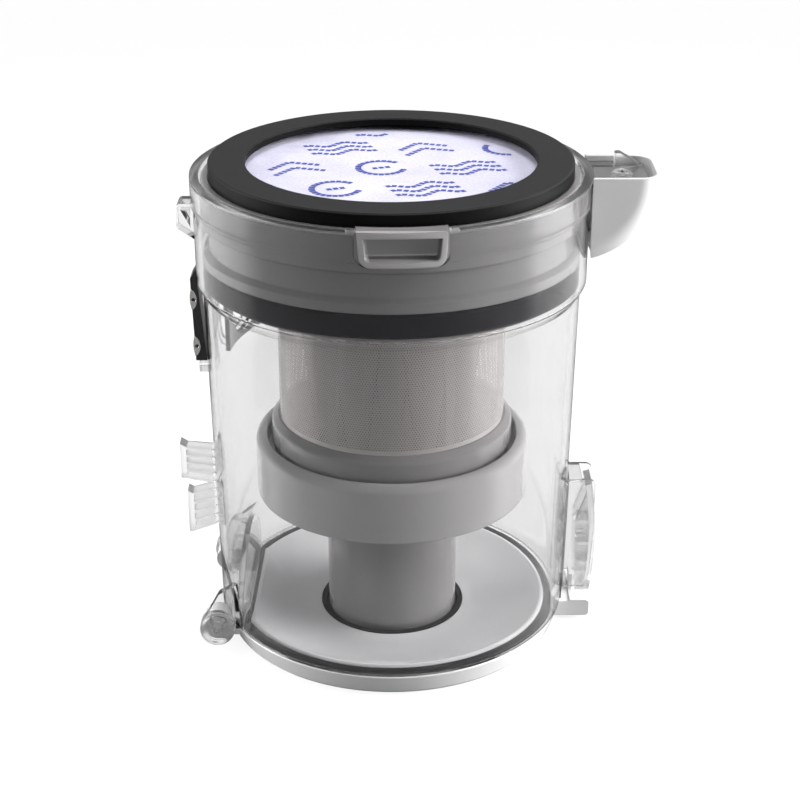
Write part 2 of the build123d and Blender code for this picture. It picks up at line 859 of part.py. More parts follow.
# Short steel hinge pins
with BuildPart() as hinge_pins:
    for side in (-1, 1):
        pin_out = cup_knuckle_out - hinge_pin_cap - pin_play
        with BuildSketch(Plane.XZ.offset(-side * (lid_knuckle_in + pin_out) / 2)):
            with Locations((hinge_x, hinge_z)):
                Circle(hinge_pin_r)
        extrude(amount=(pin_out - lid_knuckle_in) / 2, both=True)
save(hinge_pins, "hinge_pins")

# Bottom lid: flat underside, drafted rim, D shaped plug with a dished top, tongue and hinge arms
with BuildPart() as lid_plug:
    with BuildSketch(Plane.XZ):
        with BuildLine():
            lip = (lid_plug_r - lid_plug_lip, lid_plug_z)
            dish = TangentArc((lid_dish_r, lid_dish_z), lip, tangent=(1, 0))
            Polyline(
                dish @ 1,
                (lid_plug_r - lid_plug_break, lid_plug_z),
                (lid_plug_r, lid_plug_z - lid_plug_break),
                (lid_plug_r, lid_floor),
                (0, lid_floor),
                (0, lid_dish_z),
                dish @ 0,
            )
        make_face()
    revolve(axis=Axis.Z)
    with BuildSketch(Plane.XY):
        with Locations(((lid_plug_r - plug_chord + beyond) / 2, 0)):
            Rectangle(lid_plug_r + plug_chord + beyond, 2 * lid_plug_r + beyond)
    extrude(amount=lid_plug_z + beyond, mode=Mode.INTERSECT)
    # Raised lip along the flat side
    lip_reach = sqrt(lid_plug_r ** 2 - plug_chord ** 2) - lid_rim_break
    with BuildSketch(Plane.XZ):
        with BuildLine():
            lip = (-plug_chord + lid_plug_lip, lid_plug_z)
            slope = TangentArc((-lid_dish_r, lid_dish_z - overlap), lip, tangent=(-1, 0))
            Polyline(
                slope @ 1,
                (-plug_chord, lid_plug_z),
                (-plug_chord, lid_floor),
                (-lid_dish_r, lid_floor),
                slope @ 0,
            )
        make_face()
    extrude(amount=lip_reach, both=True)

with BuildPart() as bottom_lid:
    revolve(section([
        (0, 0),
        (lid_foot_r - lid_edge_round, 0),
        (lid_foot_r, lid_edge_round),
        (lid_rim_r, lid_rim_z - lid_rim_break),
        (lid_rim_r - lid_rim_break, lid_rim_z),
        (cup_foot_r - cup_wall - lid_groove_inset, lid_rim_z),
        (cup_foot_r - cup_wall - lid_groove_inset, lid_groove_z),
        (lid_plug_r - lid_groove_wide, lid_groove_z),
        (lid_plug_r - lid_groove_wide, lid_floor),
        (0, lid_floor),
    ]), axis=Axis.Z)
    with BuildSketch(Plane.XY):
        with Locations(((lid_rim_r - lid_chord + beyond) / 2, 0)):
            Rectangle(lid_rim_r + lid_chord + beyond, 2 * lid_rim_r + beyond)
    extrude(amount=lid_plug_z, mode=Mode.INTERSECT)
    add(lid_plug.part)
    # Socket for the tube's foot seal
    with BuildSketch(Plane.XY.offset(lid_floor)):
        Circle(lid_socket_r)
    extrude(amount=lid_plug_z, mode=Mode.SUBTRACT)
    # Tongue under the latch, with its catch
    with BuildSketch(Plane.XZ) as tongue:
        with BuildLine():
            Polyline(
                (tongue_root_x, tongue_low_z),
                (tongue_x, tongue_low_z),
                (tongue_x, tongue_top_z),
                (catch_x + catch_thick, tongue_top_z),
                (catch_x + catch_thick, catch_top_z),
                (catch_x, catch_top_z),
                (catch_x, lid_rim_z - lid_rim_break),
                (tongue_root_x, lid_rim_z - lid_rim_break),
                close=True,
            )
        make_face()
        fillet(tongue.vertices().sort_by(Axis.X)[-2:], tongue_round)
    extrude(amount=tongue_half, both=True)
    for side in (-1, 1):
        cut_wide = tongue_half - catch_half + beyond
        cut_tall = catch_top_z - tongue_top_z + beyond
        with BuildSketch(Plane.YZ.offset(catch_x - beyond / 2)):
            with Locations((side * (catch_half + cut_wide / 2), tongue_top_z + cut_tall / 2)):
                Rectangle(cut_wide, cut_tall)
        extrude(amount=catch_thick + beyond, mode=Mode.SUBTRACT)
    # Hinge arms and knuckles
    for side in (-1, 1):
        arm_width = cup_knuckle_in - seat_gap - lid_knuckle_in
        arm_y = side * (lid_knuckle_in + arm_width / 2)
        arm_root_x = -lid_chord + lid_floor
        arm_low_z = hinge_z - lid_knuckle_r
        arm_top_z = lid_rim_z - 2 * lid_rim_break
        with BuildSketch(Plane.XZ.offset(-arm_y)):
            with Locations((hinge_x, hinge_z)):
                Circle(lid_knuckle_r)
            with Locations(((hinge_x + arm_root_x) / 2, (arm_low_z + arm_top_z) / 2)):
                Rectangle(arm_root_x - hinge_x, arm_top_z - arm_low_z)
            with Locations((hinge_x, hinge_z)):
                Circle(hinge_pin_r + pin_play, mode=Mode.SUBTRACT)
        extrude(amount=arm_width / 2, both=True)
save(bottom_lid, "bottom_lid")

# Black D shaped seal round the plug
seal_low_z = lid_groove_z + glue_gap
seal_out_r = cup_foot_r - cup_wall - seat_gap
with BuildPart() as lid_seal:
    with BuildSketch(Plane.XY.offset(seal_low_z)):
        Circle(seal_out_r - lid_seal_room)
        with Locations((-seal_out_r - web_x + seat_gap, 0)):
            Rectangle(2 * seal_out_r, 4 * seal_out_r, mode=Mode.SUBTRACT)
    extrude(amount=lid_plug_z - seal_low_z - lid_seal_down)
    with BuildSketch(Plane.XY.offset(seal_low_z)):
        Circle(lid_plug_r + glue_gap)
        with Locations((-2 * lid_plug_r - plug_chord - glue_gap, 0)):
            Rectangle(4 * lid_plug_r, 4 * lid_plug_r, mode=Mode.SUBTRACT)
    extrude(amount=lid_plug_z, mode=Mode.SUBTRACT)
    fillet(lid_seal.edges().group_by(Axis.Z)[-1], lid_seal_round)
save(lid_seal, "lid_seal")

# Black ring in the socket under the tube
with BuildPart() as socket_seal:
    foot = tube_foot_z - seat_gap
    inner_r = tube_r - tube_wall - tube_play
    revolve(section([
        (inner_r, lid_floor + glue_gap),
        (lid_socket_r - glue_gap, lid_floor + glue_gap),
        (lid_socket_r - glue_gap, lid_dish_z + seat_gap),
        (tube_r + 2 * seat_gap, lid_dish_z + seat_gap),
        (tube_r + seat_gap, foot),
        (inner_r, foot),
    ]), axis=Axis.Z)
save(socket_seal, "socket_seal")

# Clear latch lever: curved face, two cheeks, ribs and moulded trunnions
with BuildPart() as latch_lever:
    crown_z = latch_pivot_z + latch_crown
    foot_x = latch_face_x - latch_foot_in
    head_x = latch_face_x - latch_head_in
    back_x = latch_pivot_x - latch_cheek_back
    with BuildSketch(Plane.XZ):
        with BuildLine():
            outer = ThreePointArc((foot_x, latch_foot_z), (latch_face_x, crown_z), (head_x, latch_top_z))
            Line(outer @ 1, (head_x - latch_skin, latch_top_z - latch_skin / 3))
            inner = ThreePointArc(
                (head_x - latch_skin, latch_top_z - latch_skin / 3),
                (latch_face_x - latch_skin, crown_z),
                (foot_x - latch_skin, latch_foot_z),
            )
            Line(inner @ 1, outer @ 0)
        make_face()
    extrude(amount=latch_half, both=True)
    for side in (-1, 1):
        with BuildSketch(Plane.XZ.offset(-side * (latch_half - latch_cheek / 2))):
            with BuildLine():
                Polyline(
                    (latch_face_x - latch_skin, latch_foot_z),
                    (back_x + latch_cheek_back / 2, latch_foot_z),
                    (back_x, latch_pivot_z - 2 * latch_crown),
                    (back_x, crown_z),
                    (head_x - latch_cheek, latch_top_z - latch_crown),
                    (head_x - latch_cheek / 2, latch_top_z - latch_cheek / 2),
                    (latch_face_x - latch_cheek / 2, crown_z),
                    close=True,
                )
            make_face()
        extrude(amount=latch_cheek / 2, both=True)
        trunnion_in = latch_half - overlap
        trunnion_out = latch_ear_out - latch_trunnion_gap
        with BuildSketch(Plane.XZ.offset(-side * (trunnion_in + trunnion_out) / 2)):
            with Locations((latch_pivot_x, latch_pivot_z)):
                Circle(latch_trunnion_r)
        extrude(amount=(trunnion_out - trunnion_in) / 2, both=True)
    ribs = [latch_foot_z + latch_rib / 2] + [latch_pivot_z + step for step in latch_rib_steps]
    for rib_z in ribs:
        with BuildSketch(Plane.XZ):
            with Locations((latch_pivot_x + latch_rib_out, rib_z)):
                Rectangle(latch_rib_deep, latch_rib)
        extrude(amount=latch_half - latch_cheek / 2, both=True)
save(latch_lever, "latch_lever")

# Finger frame of the collar, seen in the notch
with BuildPart() as finger_frame:
    with BuildSketch(notch_plane.offset(collar_throat_r)) as frame_outline:
        with BuildLine():
            Polyline(
                (-notch_half, notch_bar_top_z),
                (notch_half, notch_bar_top_z),
                (notch_half - notch_draft, notch_low_z),
                (-notch_half + notch_draft, notch_low_z),
                close=True,
            )
        make_face()
        fillet(frame_outline.vertices().sort_by(Axis.Y)[:2], notch_round)
    extrude(amount=notch_reach)
    with BuildSketch(Plane.XY.offset(notch_low_z - beyond / 2)):
        Circle(notch_face_r)
        Circle(collar_r - collar_wall / 2, mode=Mode.SUBTRACT)
    extrude(amount=notch_bar_top_z - notch_low_z + beyond, mode=Mode.INTERSECT)
    # Pocket, narrowing inwards
    with BuildSketch(notch_plane.offset(notch_face_r + overlap)) as pocket:
        with BuildLine():
            Polyline(
                (-notch_half + notch_frame, notch_bar_low_z),
                (notch_half - notch_frame, notch_bar_low_z),
                (notch_half - notch_frame - notch_pocket_draft, notch_low_z + notch_frame),
                (-notch_half + notch_frame + notch_pocket_draft, notch_low_z + notch_frame),
                close=True,
            )
        make_face()
        fillet(pocket.vertices().sort_by(Axis.Y)[:2], notch_round - notch_frame)
    extrude(amount=-notch_depth, taper=notch_pocket_taper, mode=Mode.SUBTRACT)

# Guide wall that hangs behind the inlet port, with a window
with BuildPart() as inlet_guide:
    with BuildSketch(Plane.XY.offset(guide_low_z)):
        with BuildLine():
            outer = CenterArc((0, 0), guide_r, guide_from, guide_to - guide_from)
            inner = CenterArc((0, 0), guide_r - guide_thick, guide_from, guide_to - guide_from)
            Line(outer @ 0, inner @ 0)
            Line(outer @ 1, inner @ 1)
        make_face()
    extrude(amount=guide_down + overlap)
    with BuildSketch(Plane.YZ):
        with Locations((inlet_y, (inlet_low_z + inlet_top_z) / 2)):
            RectangleRounded(inlet_wide - guide_window_in, inlet_tall - guide_window_in, inlet_round)
    extrude(amount=-cup_lip_r, mode=Mode.SUBTRACT)

# Grey collar: filter well, seal groove, roof of the cyclone chamber
with BuildPart() as cyclone_collar:
    revolve(section([
        (collar_bore_r, collar_low_z),
        (collar_foot_r, collar_low_z),
        (collar_foot_r, seal_groove_low_z),
        (seal_groove_r, seal_groove_low_z),
        (seal_groove_r, seal_groove_top_z),
        (collar_r, seal_groove_top_z),
        (collar_r, seal_groove_top_z + collar_band_tall),
        (collar_neck_r, seal_groove_top_z + collar_band_tall + collar_band_rise),
        (collar_neck_r, collar_waist_z - collar_step),
        (collar_r, collar_waist_z),
        (collar_r, collar_top_z - collar_break),
        (collar_r - collar_break, collar_top_z),
        (collar_well_r, collar_top_z),
        (collar_well_r, collar_ledge_z),
        (collar_throat_r, collar_ledge_z),
        (collar_throat_r, collar_low_z + collar_roof),
        (collar_bore_r, collar_low_z + collar_roof),
    ]), axis=Axis.Z)
    add(finger_frame.part)
    add(inlet_guide.part)
    with BuildSketch(Plane.XY.offset(collar_low_z)):
        with PolarLocations(collar_screw_pitch, screw_count, start_angle=screw_start):
            Circle(screw_r + pin_play)
    extrude(amount=collar_roof, mode=Mode.SUBTRACT)
save(cyclone_collar, "cyclone_collar")

# Dark rubber seal band
with BuildPart() as collar_seal:
    low = seal_groove_low_z + seal_inset
    top = seal_groove_top_z - seal_inset
    revolve(section([
        (seal_groove_r + glue_gap, low),
        (seal_r - seal_break, low),
        (seal_r, low + seal_crown),
        (seal_r, top - seal_crown),
        (seal_r - seal_break, top),
        (seal_groove_r + glue_gap, top),
    ]), axis=Axis.Z)
save(collar_seal, "collar_seal")

# Frame that carries the mesh
with BuildPart() as mesh_frame:
    revolve(section([
        (frame_bore_r, frame_top_z),
        (mesh_r + frame_top_lip, frame_top_z),
        (frame_flange_r, frame_flange_z - overlap),
        (frame_flange_r, collar_low_z - glue_gap),
        (plate_r + pack_plate_out + overlap, collar_low_z - glue_gap),
        (plate_r + pack_plate_out + overlap, frame_flange_z),
        (frame_bore_r, frame_flange_z),
    ]), axis=Axis.Z)
    with BuildSketch(Plane.XZ) as foot_section:
        with BuildLine():
            Polyline(
                (frame_bore_r, frame_base_z),
                (frame_base_r, frame_base_z),
                (frame_base_r, mesh_low_z - glue_gap - frame_base_slope),
                (mesh_r + frame_base_lip, mesh_low_z - glue_gap),
                (frame_bore_r, mesh_low_z - glue_gap),
                close=True,
            )
        make_face()
        fillet(foot_section.vertices().sort_by(Axis.X)[-2:].sort_by(Axis.Y)[-1], frame_base_round)
    revolve(axis=Axis.Z)
    post_r = (frame_bore_r + mesh_r - mesh_sheet - glue_gap) / 2
    with BuildSketch(Plane.XY.offset(frame_base_z + frame_post_up)):
        with PolarLocations(post_r, frame_posts):
            Rectangle(mesh_r - mesh_sheet - glue_gap - frame_bore_r, frame_post)
    extrude(amount=frame_top_z - frame_base_z - frame_post_up / 2)
    with BuildSketch(Plane.XY.offset(frame_base_z)):
        with PolarLocations(frame_screw_pitch, screw_count, start_angle=screw_start):
            Circle(screw_r + pin_play)
    extrude(amount=frame_screw_deep, mode=Mode.SUBTRACT)
    with BuildSketch(Plane.XY.offset(collar_low_z)):
        with PolarLocations(collar_screw_pitch, screw_count, start_angle=screw_start):
            Circle(screw_r + pin_play)
    extrude(amount=-pack_plate - beyond, mode=Mode.SUBTRACT)
save(mesh_frame, "mesh_frame")

# Perforated steel sleeve
with BuildPart() as mesh_screen:
    revolve(section([
        (mesh_r - mesh_sheet, mesh_low_z),
        (mesh_r, mesh_low_z),
        (mesh_r, frame_top_z - glue_gap),
        (mesh_r - mesh_sheet, frame_top_z - glue_gap),
    ]), axis=Axis.Z)
save(mesh_screen, "mesh_screen")

# Bell shaped skirt, hollow underneath
with BuildPart() as skirt:
    with BuildSketch(Plane.XZ) as skirt_section:
        with BuildLine():
            Polyline(
                (skirt_r, skirt_low_z),
                (skirt_r, skirt_top_z),
                (skirt_mouth_r, skirt_top_z),
                (skirt_mouth_r, skirt_web_z + skirt_web),
                (skirt_hub_r, skirt_web_z + skirt_web),
                (skirt_hub_r, skirt_web_z),
                (skirt_r - skirt_wall, skirt_web_z),
                (skirt_r - skirt_wall, skirt_low_z),
                close=True,
            )
        make_face()
        fillet(skirt_section.vertices().group_by(Axis.Y)[-1].sort_by(Axis.X)[-1], skirt_round)
        fillet(skirt_section.vertices().group_by(Axis.Y)[-1].sort_by(Axis.X)[0], skirt_mouth_round)
        fillet(skirt_section.vertices().group_by(Axis.Y)[0].sort_by(Axis.X)[-1], skirt_low_round)
    revolve(axis=Axis.Z)
    with BuildSketch(Plane.XY.offset(skirt_web_z)):
        with PolarLocations(frame_screw_pitch, screw_count, start_angle=screw_start):
            Circle(screw_r + pin_play)
    extrude(amount=skirt_web, mode=Mode.SUBTRACT)
save(skirt, "skirt")

# Fine dust tube with a funnel head
with BuildPart() as dust_tube:
    revolve(section([
        (tube_r - tube_wall, tube_foot_z),
        (tube_r, tube_foot_z),
        (tube_r, tube_head_z - tube_flare),
        (tube_r + tube_flare, tube_head_z),
        (tube_seat_r, tube_head_z),
        (tube_seat_r, seat_z),
        (frame_bore_r, seat_z),
        (frame_bore_r, seat_z - tube_seat),
        (tube_r + tube_throat, tube_head_z + tube_wall),
        (tube_r - tube_wall, tube_head_z - tube_throat_down),
    ]), axis=Axis.Z)
    with BuildSketch(Plane.XY.offset(tube_head_z)):
        with PolarLocations(frame_screw_pitch, screw_count, start_angle=screw_start):
            Circle(screw_r + pin_play)
    extrude(amount=seat_z - tube_head_z, mode=Mode.SUBTRACT)
save(dust_tube, "dust_tube")

# Pack of small cyclone cones
cone_tall = pack_plate_z - cone_tip_z
with BuildPart() as cone_pack:
    with BuildSketch(Plane.XY.offset(pack_plate_z)):
        Circle(plate_r + pack_plate_out)
    extrude(amount=pack_plate)
    turns = [radians(360 * n / cone_count) for n in range(cone_count)]
    places = [(0, 0)] + [(cone_pitch_r * cos(way), cone_pitch_r * sin(way)) for way in turns]
    with Locations(*[(x, y, cone_tip_z + cone_tall / 2) for x, y in places]):
        Cone(cone_tip_r, cone_top_r, cone_tall)
    with BuildSketch(Plane.XY.offset(pack_plate_z)):
        with PolarLocations(pack_screw_pitch, screw_count, start_angle=screw_start):
            Circle(screw_head_r)
    extrude(amount=-pack_boss_tall)
    with Locations(*[(x, y, cone_tip_z + (cone_tall + pack_plate) / 2) for x, y in places]):
        Cone(
            cone_tip_r - cone_wall,
            cone_top_r - cone_wall,
            cone_tall + pack_plate + glue_gap,
            mode=Mode.SUBTRACT,
        )
    # Side inlet of each outer cone
    with PolarLocations(cone_pitch_r + cone_top_r - cone_inlet_in, cone_count):
        with Locations((0, cone_inlet_side, pack_plate_z - cone_inlet_down)):
            Box(cone_inlet_deep, cone_inlet_wide, cone_inlet_tall, mode=Mode.SUBTRACT)
    with BuildSketch(Plane.XY.offset(pack_plate_z + pack_plate)):
        with PolarLocations(pack_screw_pitch, screw_count, start_angle=screw_start):
            Circle(screw_r + pin_play)
    extrude(amount=-pack_screw_long, mode=Mode.SUBTRACT)
save(cone_pack, "cone_pack")

# Plate with the vortex finder tubes
with BuildPart() as vortex_plate:
    with BuildSketch(Plane.XY.offset(finder_plate_z)):
        Circle(plate_r)
        with PolarLocations(pack_screw_pitch, screw_count, start_angle=screw_start):
            Circle(screw_r + pin_play, mode=Mode.SUBTRACT)
    extrude(amount=collar_roof)
    with BuildSketch(Plane.XY.offset(finder_low_z)):
        with Locations(*places):
            Circle(finder_r)
    extrude(amount=finder_plate_z + collar_roof + finder_up - finder_low_z)
    with BuildSketch(Plane.XY.offset(finder_low_z)):
        with Locations(*places):
            Circle(finder_r - finder_wall)
    extrude(amount=finder_plate_z + collar_roof + finder_up - finder_low_z, mode=Mode.SUBTRACT)
save(vortex_plate, "vortex_plate")


def screw_ring(name, pitch, head_z, long, upright):
    """Identical screws on a circle, heads up or heads down."""
    way = 1 if upright else -1
    with BuildPart() as screws:
        with BuildSketch(Plane.XY.offset(head_z)):
            with PolarLocations(pitch, screw_count, start_angle=screw_start):
                Circle(screw_head_r)
        extrude(amount=way * screw_head)
        with BuildSketch(Plane.XY.offset(head_z)):
            with PolarLocations(pitch, screw_count, start_angle=screw_start):
                Circle(screw_r)
        extrude(amount=-way * long)
    save(screws, name)


pack_head_z = finder_plate_z + collar_roof + glue_gap
collar_head_z = collar_low_z + collar_roof + glue_gap
screw_ring("pack_screws", pack_screw_pitch, pack_head_z, pack_screw_long, True)
screw_ring("collar_screws", collar_screw_pitch, collar_head_z, collar_screw_long, True)
screw_ring("frame_screws", frame_screw_pitch, skirt_web_z - glue_gap, frame_screw_long, False)

# Black rubber ring round the top of the filter
with BuildPart() as filter_ring:
    ring_low_z = collar_top_z + seat_gap
    revolve(section([
        (filter_hole_r, filter_top_z - filter_break),
        (filter_hole_r + filter_break, filter_top_z),
        (filter_ring_r - filter_edge, filter_top_z),
        (filter_ring_r, filter_top_z - filter_break),
        (filter_ring_r, ring_low_z),
        (filter_core_r, ring_low_z),
        (filter_core_r, sleeve_top_z + glue_gap),
        (filter_bed_r + glue_gap, sleeve_top_z + glue_gap),
        (filter_bed_r + glue_gap, filter_sheet_z + filter_sheet + glue_gap),
        (filter_hole_r, filter_under_z),
    ]), axis=Axis.Z)
save(filter_ring, "filter_ring")

# White cover sheet
with BuildPart() as filter_film:
    with BuildSketch(Plane.XY.offset(filter_sheet_z)):
        Circle(filter_bed_r)
    extrude(amount=filter_sheet)
save(filter_film, "filter_film")

# Pleated paper under the sheet
pleat_top_z = filter_sheet_z - glue_gap
with BuildPart() as filter_media:
    half_count = int(filter_bed_r / pleat_pitch)
    ridge = []
    for n in range(-half_count, half_count + 1):
        ridge.append((n * pleat_pitch - pleat_pitch / 2, pleat_low_z))
        ridge.append((n * pleat_pitch, pleat_top_z - pleat_paper))
    ridge.append((half_count * pleat_pitch + pleat_pitch / 2, pleat_low_z))
    with BuildSketch(Plane.XZ):
        with BuildLine():
            Polyline(*ridge, *[(x, z + pleat_paper) for x, z in reversed(ridge)], close=True)
        make_face()
    extrude(amount=filter_bed_r, both=True)
    with BuildSketch(Plane.XY.offset(pleat_low_z - beyond / 2)):
        Circle(filter_bed_r - glue_gap)
    extrude(amount=pleat_top_z - pleat_low_z + beyond, mode=Mode.INTERSECT)
save(filter_media, "filter_media")

# Sleeve of the filter with a grid floor
with BuildPart() as filter_grid:
    with BuildSketch(Plane.XY.offset(grid_low_z)):
        Circle(filter_core_r)
        Circle(filter_bed_r + glue_gap, mode=Mode.SUBTRACT)
    extrude(amount=sleeve_top_z - grid_low_z)
    with BuildSketch(Plane.XY.offset(grid_low_z)):
        with GridLocations(0, 2 * filter_bed_r / (grid_bars + 1), 1, grid_bars):
            Rectangle(2 * filter_core_r, grid_bar)
        Rectangle(grid_bar, 2 * filter_core_r)
        with BuildSketch(mode=Mode.INTERSECT):
            Circle(filter_core_r - grid_sink)
    extrude(amount=grid_floor)
save(filter_grid, "filter_grid")
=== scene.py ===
# %% [markdown]
# The imported CAD part is loaded first: a clear dust bin with a cyclone core, already in real metres. Its
# nodes can't be moved or reshaped here, so this lesson dresses them: finishes, fine pieces, light, camera.

import json
import math

import bpy
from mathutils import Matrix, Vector


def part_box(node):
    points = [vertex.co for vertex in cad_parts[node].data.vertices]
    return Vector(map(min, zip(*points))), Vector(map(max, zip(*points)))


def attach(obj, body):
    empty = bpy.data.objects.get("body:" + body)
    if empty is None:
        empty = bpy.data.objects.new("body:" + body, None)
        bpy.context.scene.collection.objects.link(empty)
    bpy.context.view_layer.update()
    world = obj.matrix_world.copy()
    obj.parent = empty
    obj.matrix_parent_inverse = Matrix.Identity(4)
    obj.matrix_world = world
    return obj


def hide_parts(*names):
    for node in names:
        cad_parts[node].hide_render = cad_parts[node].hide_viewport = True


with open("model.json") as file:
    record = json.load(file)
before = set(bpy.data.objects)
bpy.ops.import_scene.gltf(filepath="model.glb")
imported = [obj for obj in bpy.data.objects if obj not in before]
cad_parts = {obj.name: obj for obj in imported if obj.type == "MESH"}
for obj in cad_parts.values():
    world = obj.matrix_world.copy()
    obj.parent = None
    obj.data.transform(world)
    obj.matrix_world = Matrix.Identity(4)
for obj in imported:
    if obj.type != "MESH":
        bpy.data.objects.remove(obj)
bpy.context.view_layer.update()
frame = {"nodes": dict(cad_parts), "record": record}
nodes = frame["nodes"]
scene = bpy.context.scene
mm = 0.001

# %% [markdown]
# The photograph was taken from the front and well above the rim, with a long lens. A pinhole camera was
# fitted to the ellipses of the rim, seal, skirt and lid, so the numbers are measured ones. A tilt about X
# alone is enough, since the picture has no roll.

# %% Camera
sensor_wide = 36.0
focal_length = 77.69
camera_place = (2.616 * mm, -498.77 * mm, 299.56 * mm)
camera_tilt = math.radians(65.711)
view = bpy.data.cameras.new("view")
view.sensor_width = sensor_wide
view.lens = focal_length
view.dof.use_dof = False
camera = bpy.data.objects.new("view", view)
scene.collection.objects.link(camera)
camera.location = camera_place
camera.rotation_euler = (camera_tilt, 0, 0)
scene.camera = camera
scene.view_settings.view_transform = "Standard"
print("camera at", [round(v, 3) for v in camera.location])

# %% [markdown]
# Every finish below is a small node tree. These helpers add a node, join two sockets and do arithmetic,
# so that each finish reads as a list of what it is made of and not as screens of wiring.


# %% Node helpers
def add(tree, kind, **values):
    """Add a shader node; a value is a property or an input of that name."""
    made = tree.nodes.new("ShaderNode" + kind)
    for name, value in values.items():
        if hasattr(made, name):
            setattr(made, name, value)
        else:
            made.inputs[name.replace("_", " ")].default_value = value
    return made


def join(tree, source, target):
    """Join an output socket to an input socket."""
    tree.links.new(source, target)


def maths(tree, operation, first, second=0.0, third=0.0):
    """One step of arithmetic; each term is a number or a socket."""
    step = tree.nodes.new("ShaderNodeMath")
    step.operation = operation
    for slot, term in zip(step.inputs, (first, second, third)):
        if isinstance(term, (int, float)):
            slot.default_value = term
        else:
            join(tree, term, slot)
    return step.outputs[0]


def blank(name):
    """A material with an output node and nothing else."""
    finish = bpy.data.materials.new(name)
    finish.use_nodes = True
    tree = finish.node_tree
    tree.nodes.clear()
    tree.nodes.new("ShaderNodeOutputMaterial")
    return finish, tree


def output(tree):
    """Surface socket of the material's output."""
    return tree.nodes["Material Output"].inputs["Surface"]


# %% [markdown]
# All finishes share a few steps: noise over object coordinates, which sticks to the piece when it moves, a
# mix of two colours or two shaders, a bump, and edges rounded in the shading alone. A bevel in the mesh
# would be the other way to soften edges, but the CAD's meshes have to stay as they are.

# %% Shared steps
mix_ends = (6, 7)
mix_colour = 2
edge_samples = 4


def noise(tree, place, scale, detail):
    """Noise over coordinates, from 0 to 1."""
    made = add(tree, "TexNoise", Scale=scale, Detail=detail)
    join(tree, place, made.inputs["Vector"])
    return made.outputs[0]


def split(tree, vector):
    """X, Y and Z of a vector, each as a socket."""
    made = add(tree, "SeparateXYZ")
    join(tree, vector, made.inputs[0])
    return made.outputs["X"], made.outputs["Y"], made.outputs["Z"]


def blend(tree, share, first, second):
    """Mix two colours; each is three numbers or a socket."""
    mix = add(tree, "Mix", data_type="RGBA")
    join(tree, share, mix.inputs[0])
    for slot, colour in zip(mix_ends, (first, second)):
        if isinstance(colour, (list, tuple)):
            mix.inputs[slot].default_value = (*colour, 1)
        else:
            join(tree, colour, mix.inputs[slot])
    return mix.outputs[mix_colour]


def layer(tree, share, under, over):
    """Mix two shaders."""
    mix = add(tree, "MixShader")
    for slot, source in zip(mix.inputs, (share, under, over)):
        join(tree, source, slot)
    return mix.outputs[0]


def bumped(tree, height, strength, deep, normal=None):
    """Normal that follows a height, over another normal if there is one."""
    bump = add(tree, "Bump", Strength=strength, Distance=deep)
    join(tree, height, bump.inputs["Height"])
    if normal is not None:
        join(tree, normal, bump.inputs["Normal"])
    return bump.outputs[0]


def soft_edges(tree, radius):
    """Normal that rounds sharp edges."""
    return add(tree, "Bevel", samples=edge_samples, Radius=radius).outputs[0]


# %% [markdown]
# Moulded plastic is never one flat colour: the tool leaves a fine grain, the gloss wanders, and corners are
# soft. Slow noise drives tint and roughness, fine noise a shallow bump. A thin clear coat gives the greys a
# crisp glint over their broad sheen. The finger frame stands out in front of the rim and catches more
# light, so the collar is painted lighter there, by its own Y: painted light. Black rubber gets a painted
# grey sheen on the faces that look up, standing in for light from above.

# %% Moulded plastic and rubber
slow_scale = 60.0
slow_detail = 3.0
tint_swing = 0.015
gloss_swing = 0.05
grain_scale = 2600.0
grain_detail = 2.0
grain_deep = 0.02 * mm
coat_rough = 0.05
frame_front = -59.0 * mm
# Painted light: the finger frame is drawn this many times lighter than the rest of the collar.
painted_frame_lift = 1.9
# Painted sheen on black rubber that looks up is this much bluer.
top_sheen_blue = 1.04


def painted_light_on_frame(tree, place, tone, colour):
    """The same plastic, painted lighter on what stands out in front of the rim: painted light."""
    front = maths(tree, "LESS_THAN", split(tree, place)[1], frame_front)
    return blend(tree, front, tone, [c * painted_frame_lift for c in colour])


def painted_top_sheen(tree, tone, top_sheen):
    """Painted grey sheen on faces that look up, standing in for light from above."""
    up = split(tree, add(tree, "TexCoord").outputs["Normal"])[2]
    return blend(tree, maths(tree, "MAXIMUM", up, 0.0), tone, (top_sheen, top_sheen, top_sheen * top_sheen_blue))


def moulded(name, colour, rough, grain=0.015, edge=0.35, specular=0.5, coat=0.0,
            paint_frame_light=False, top_sheen=0.0):
    """Opaque moulding: fine grain, slow change of tint and gloss, softened edges."""
    finish, tree = blank(name)
    place = add(tree, "TexCoord").outputs["Object"]
    slow = noise(tree, place, slow_scale, slow_detail)
    fine = noise(tree, place, grain_scale, grain_detail)
    darker = [c * (1 - tint_swing) for c in colour]
    lighter = [c * (1 + tint_swing) for c in colour]
    tone = blend(tree, slow, darker, lighter)
    # Painted light: the finger frame is drawn lighter by its Y.
    if paint_frame_light:
        tone = painted_light_on_frame(tree, place, tone, colour)
    # Painted sheen: faces that look up are drawn lighter.
    if top_sheen:
        tone = painted_top_sheen(tree, tone, top_sheen)
    gloss = maths(tree, "MULTIPLY_ADD", slow, gloss_swing, rough - gloss_swing / 2)
    normal = bumped(tree, fine, grain, grain_deep, soft_edges(tree, edge * mm))
    body = add(tree, "BsdfPrincipled", Specular_IOR_Level=specular)
    body.inputs["Coat Weight"].default_value = coat
    body.inputs["Coat Roughness"].default_value = coat_rough
    join(tree, tone, body.inputs["Base Color"])
    join(tree, gloss, body.inputs["Roughness"])
    join(tree, normal, body.inputs["Normal"])
    join(tree, body.outputs[0], output(tree))
    return finish
